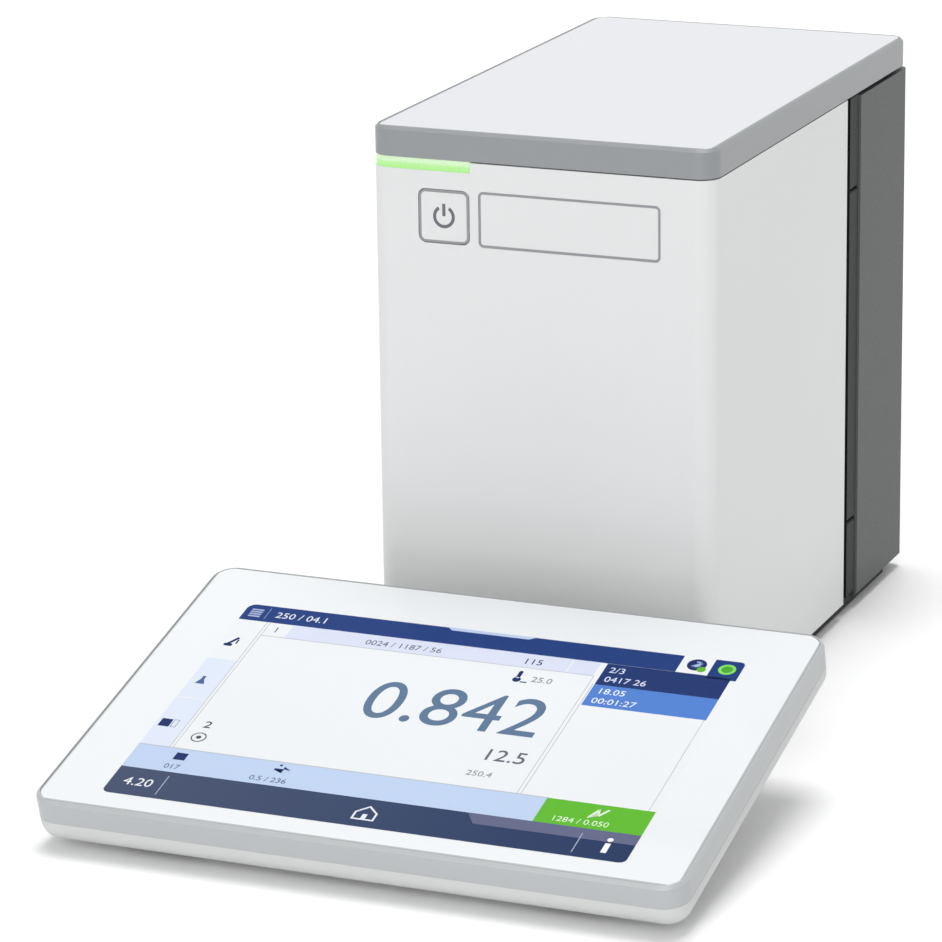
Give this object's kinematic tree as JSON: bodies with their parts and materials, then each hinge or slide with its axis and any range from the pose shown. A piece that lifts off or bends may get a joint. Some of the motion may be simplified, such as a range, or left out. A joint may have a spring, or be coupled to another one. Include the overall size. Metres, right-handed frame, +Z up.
{
  "type": "benchtop conductivity meter",
  "caption": "Benchtop conductivity meter: upright measuring tower with probe sockets at the rear, and a separate tilted touch-screen terminal.",
  "frame": {"origin": "on the bench, under the middle of the box that holds tower and terminal", "axes": "+X to the user's right, +Y from the terminal at the front to the sockets at the rear, +Z up"},
  "size_m": [0.194, 0.3456, 0.1801],
  "materials": {
    "white_housing": "fine satin white",
    "name_field": "fine satin white",
    "white_key": "fine satin white",
    "light_guide": "translucent, lit green",
    "satin_band": "satin",
    "terminal_frame": "satin",
    "top_plate": "smooth white",
    "black_inner": "matt black",
    "dark_base": "matt dark grey",
    "dark_strip": "matt dark grey",
    "dark_cover": "satin dark grey",
    "rear_panel": "fine powder coat",
    "module_plate": "fine powder coat",
    "circuit_board": "green solder mask",
    "led": "clear",
    "switch": "matt black",
    "steel_screw": "zinc-plated",
    "brass_spacer": "turned",
    "heat_sink": "extruded",
    "nickel_socket": "nickel-plated",
    "cinch_socket": "nickel-plated",
    "black_socket": "moulded black",
    "rubber": "matt",
    "cover_glass": "white printed from behind, glossy",
    "display": "dark",
    "white_shell": "fine satin white",
    "white_foot": "fine satin white"
  },
  "bodies": {
    "tower": {"base_screws": "steel_screw", "base_tray": "dark_base", "chassis": "black_inner", "conductivity_board": "circuit_board", "conductivity_plate": "module_plate", "conductivity_socket": "black_socket", "dc_inlet": "black_socket", "front_board": "circuit_board", "front_leds": "led", "housing": "white_housing", "lan_socket": "black_socket", "left_side_frame": "black_inner", "left_strips": "dark_strip", "lid_frame": "black_inner", "lid_screws": "steel_screw", "light_guide": "light_guide", "main_board": "circuit_board", "main_board_screws": "steel_screw", "main_board_spacers": "brass_spacer", "name_plate": "name_field", "ph_board": "circuit_board", "ph_plate": "module_plate", "ph_socket": "nickel_socket", "port_board": "circuit_board", "power_switch": "switch", "processor_sink": "heat_sink", "rear_cover": "dark_cover", "rear_cover_screws": "steel_screw", "rear_panel": "rear_panel", "rear_panel_screws": "steel_screw", "reference_socket": "black_socket", "right_side_frame": "black_inner", "right_strips": "dark_strip", "stirrer_port": "black_socket", "temperature_sockets": "cinch_socket", "terminal_port": "black_socket", "top_band": "satin_band", "top_plate": "top_plate", "tower_feet": "rubber", "usb_device_socket": "nickel_socket", "usb_host_socket": "nickel_socket"},
    "power_key": {"power_button": "white_key", "switch_plunger": "switch"},
    "terminal": {"cover_glass": "cover_glass", "terminal_frame": "terminal_frame", "touch_display": "display", "lower_shell": "white_shell", "terminal_board": "circuit_board", "terminal_board_screws": "steel_screw", "shell_screws": "steel_screw", "buzzer": "switch", "terminal_socket": "black_socket", "foot_pins": "steel_screw", "front_pads": "rubber"},
    "left_stand": {"left_foot": "white_foot", "left_foot_shoe": "rubber"},
    "right_stand": {"right_foot": "white_foot", "right_foot_shoe": "rubber"}
  },
  "joints": [
    {"name": "power_button_press", "type": "slide", "parent": "tower", "child": "power_key", "axis": [0, 1, 0], "range_m": [0, 0.0008], "stiffness_N_per_m": 2000, "springref_m": -0.0002},
    {"name": "terminal_lift", "type": "slide", "parent": "tower", "child": "terminal", "axis": [0, 0, 1], "range_m": [0, 0.15]},
    {"name": "left_foot_fold", "type": "hinge", "parent": "terminal", "child": "left_stand", "pos_m": [-0.062, -0.06127, 0.03144], "axis": [-1, 0, 0], "range_deg": [0, 90]},
    {"name": "right_foot_fold", "type": "hinge", "parent": "terminal", "child": "right_stand", "pos_m": [0.062, -0.06127, 0.03144], "axis": [-1, 0, 0], "range_deg": [0, 90]}
  ]
}
